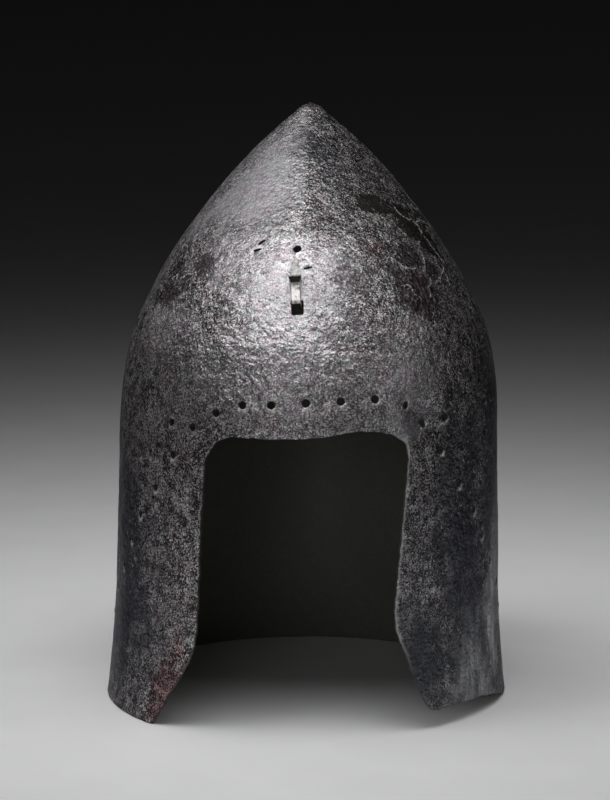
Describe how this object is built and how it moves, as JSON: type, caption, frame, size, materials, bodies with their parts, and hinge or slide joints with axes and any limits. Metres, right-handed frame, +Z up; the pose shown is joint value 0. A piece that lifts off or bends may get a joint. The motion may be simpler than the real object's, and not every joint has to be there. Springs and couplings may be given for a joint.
{
  "type": "barbute helmet",
  "caption": "Open-faced helmet of one dark pitted iron plate, with a pointed skull, long cheeks, a row of lining holes and a forged hook at the brow; it stands on its rim.",
  "frame": {"origin": "middle of the bounding box's bottom, on the plane that the rim stands on", "axes": "+Z up to the point of the skull, -Y out of the face opening, +X to the wearer's left"},
  "size_m": [0.21, 0.2338, 0.3096],
  "materials": {
    "plate_iron": "dark oxidised wrought iron, pitted, with a dull sheen",
    "hook_iron": "dark wrought iron, rubbed bright on its outer faces"
  },
  "bodies": {
    "root": {"bowl": "plate_iron", "brow_hook": "hook_iron"}
  },
  "joints": []
}
